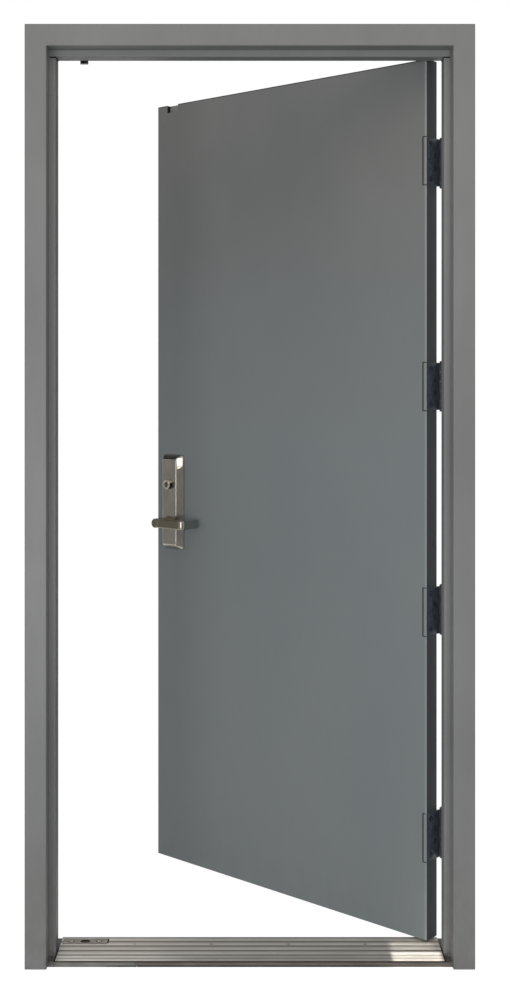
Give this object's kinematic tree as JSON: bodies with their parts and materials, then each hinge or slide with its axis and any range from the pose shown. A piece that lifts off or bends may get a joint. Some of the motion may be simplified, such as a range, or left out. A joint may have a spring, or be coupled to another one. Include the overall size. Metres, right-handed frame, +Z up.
{
  "type": "storm shelter door",
  "caption": "Steel storm shelter door hung in a double-rabbet welded frame, with butt hinges, a fluted threshold and lever trim with a key cylinder.",
  "frame": {"origin": "middle of the opening, on the sill's underside, at mid-depth of the frame", "axes": "+X towards the hinge jamb, -Y towards the push side, +Z up"},
  "size_m": [1.0454, 0.7984, 2.1844],
  "materials": {
    "frame_paint": "satin grey paint",
    "door_paint": "satin grey paint",
    "sill_steel": "dull dark grey",
    "threshold_aluminium": "mill finish",
    "hinge_steel": "dark satin",
    "strike_steel": "brushed",
    "plain_steel": "grey primer",
    "core_board": "rigid core board",
    "trim_metal": "satin nickel"
  },
  "bodies": {
    "frame": {"hinge_jamb": "frame_paint", "strike_jamb": "frame_paint", "head": "frame_paint", "sill": "sill_steel", "threshold": "threshold_aluminium", "bottom_strike": "strike_steel", "top_strike": "strike_steel", "lock_strike": "strike_steel", "hinge_1_frame_leaf": "hinge_steel", "hinge_2_frame_leaf": "hinge_steel", "hinge_3_frame_leaf": "hinge_steel", "hinge_4_frame_leaf": "hinge_steel", "hinge_1_pin": "hinge_steel", "hinge_2_pin": "hinge_steel", "hinge_3_pin": "hinge_steel", "hinge_4_pin": "hinge_steel", "hinge_plates": "plain_steel", "hinge_jamb_anchors": "plain_steel", "strike_jamb_anchors": "plain_steel", "floor_clips": "plain_steel"},
    "door": {"push_skin": "door_paint", "pull_skin": "door_paint", "core": "core_board", "hinge_edge_channel": "plain_steel", "lock_edge_channel": "plain_steel", "top_channel": "door_paint", "bottom_channel": "door_paint", "hinge_1_door_leaf": "hinge_steel", "hinge_2_door_leaf": "hinge_steel", "hinge_3_door_leaf": "hinge_steel", "hinge_4_door_leaf": "hinge_steel", "hinge_fillers": "door_paint", "lock_case": "plain_steel", "lock_front": "strike_steel", "latch_bolt": "strike_steel", "top_latch": "strike_steel", "bottom_bolt": "strike_steel", "outside_escutcheon": "trim_metal", "key_cylinder": "trim_metal", "inside_escutcheon": "trim_metal", "thumbturn": "trim_metal"},
    "lever": {"outside_lever": "trim_metal", "spindle": "hinge_steel", "inside_lever": "trim_metal"}
  },
  "joints": [
    {"name": "door_swing", "type": "hinge", "parent": "frame", "child": "door", "pos_m": [0.4674, 0.09208, 1], "axis": [0, 0, -1], "range_deg": [-42.5, 127.5]},
    {"name": "lever_turn", "type": "hinge", "parent": "door", "child": "lever", "pos_m": [-0.19598, 0.64397, 0.9625], "axis": [0.6756, 0.7373, 0], "range_deg": [0, 45], "stiffness_Nm_per_rad": 1.5, "springref_deg": -34.38}
  ]
}
